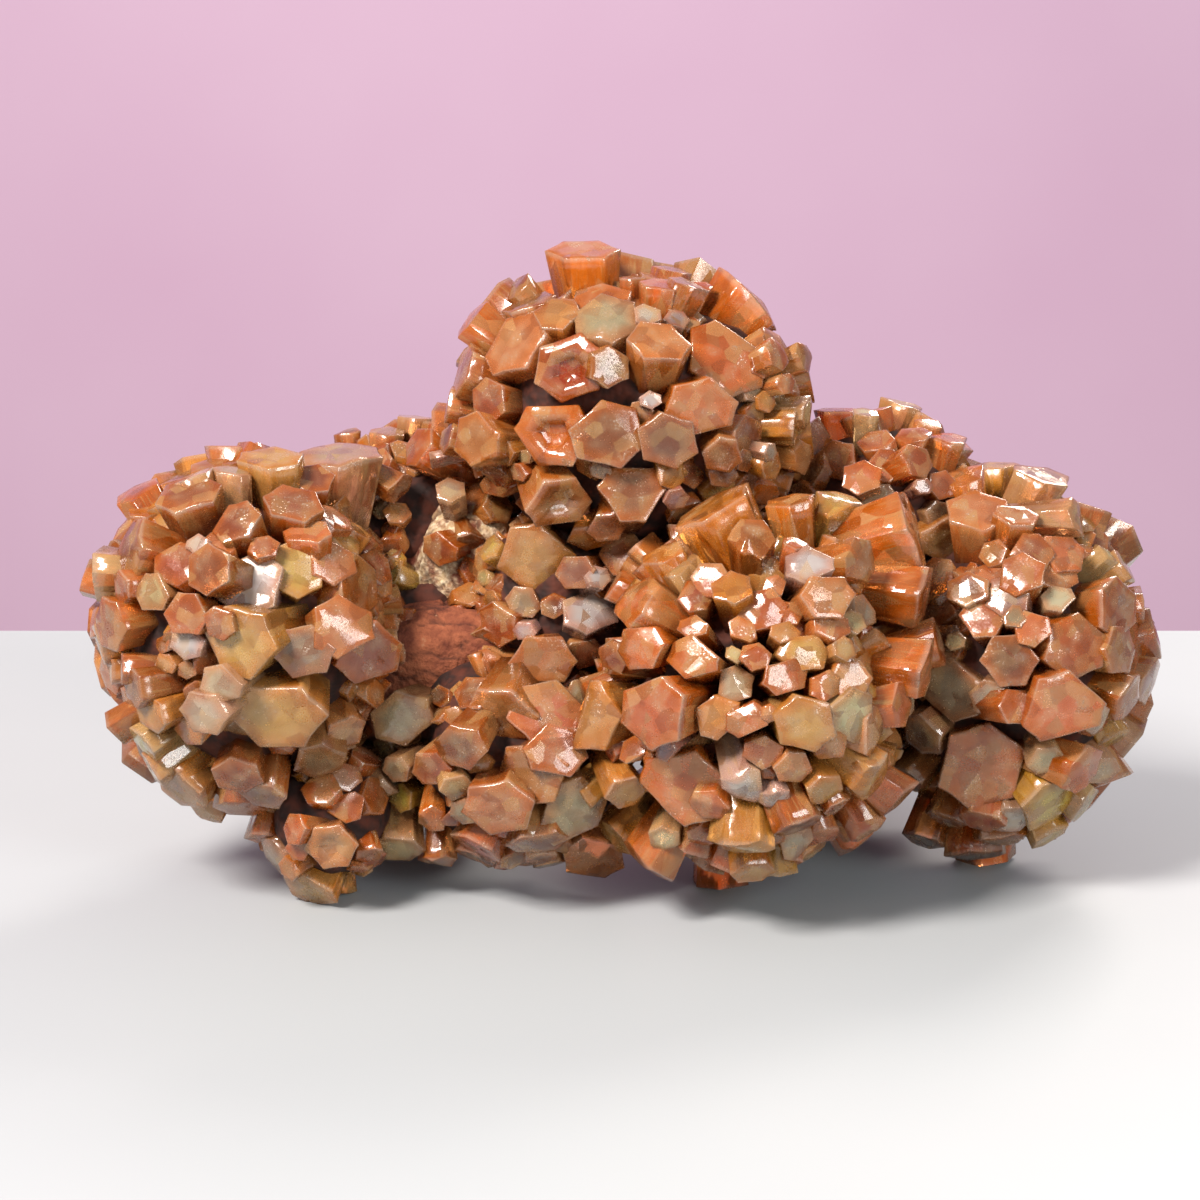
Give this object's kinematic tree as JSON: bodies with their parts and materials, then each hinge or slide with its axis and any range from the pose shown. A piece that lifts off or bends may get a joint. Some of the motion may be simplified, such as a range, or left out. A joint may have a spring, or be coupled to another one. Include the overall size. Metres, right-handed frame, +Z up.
{
  "type": "aragonite cluster",
  "caption": "Mineral specimen: balls of blunt six-sided aragonite crystals grown into one mass, with a lump of cracked clay lodged in a hollow",
  "frame": {"origin": "under the middle of the cluster's box, at the height that it stands on", "axes": "+X along the cluster's longest extent, to the right in the picture; +Y away from the camera; +Z up"},
  "size_m": [0.1312, 0.0778, 0.0787],
  "materials": {
    "aragonite": "translucent amber crystal, frosted ends",
    "clay": "dry cracked earth"
  },
  "bodies": {
    "root": {"crystal_cluster": "aragonite", "clay_matrix": "clay"}
  },
  "joints": []
}
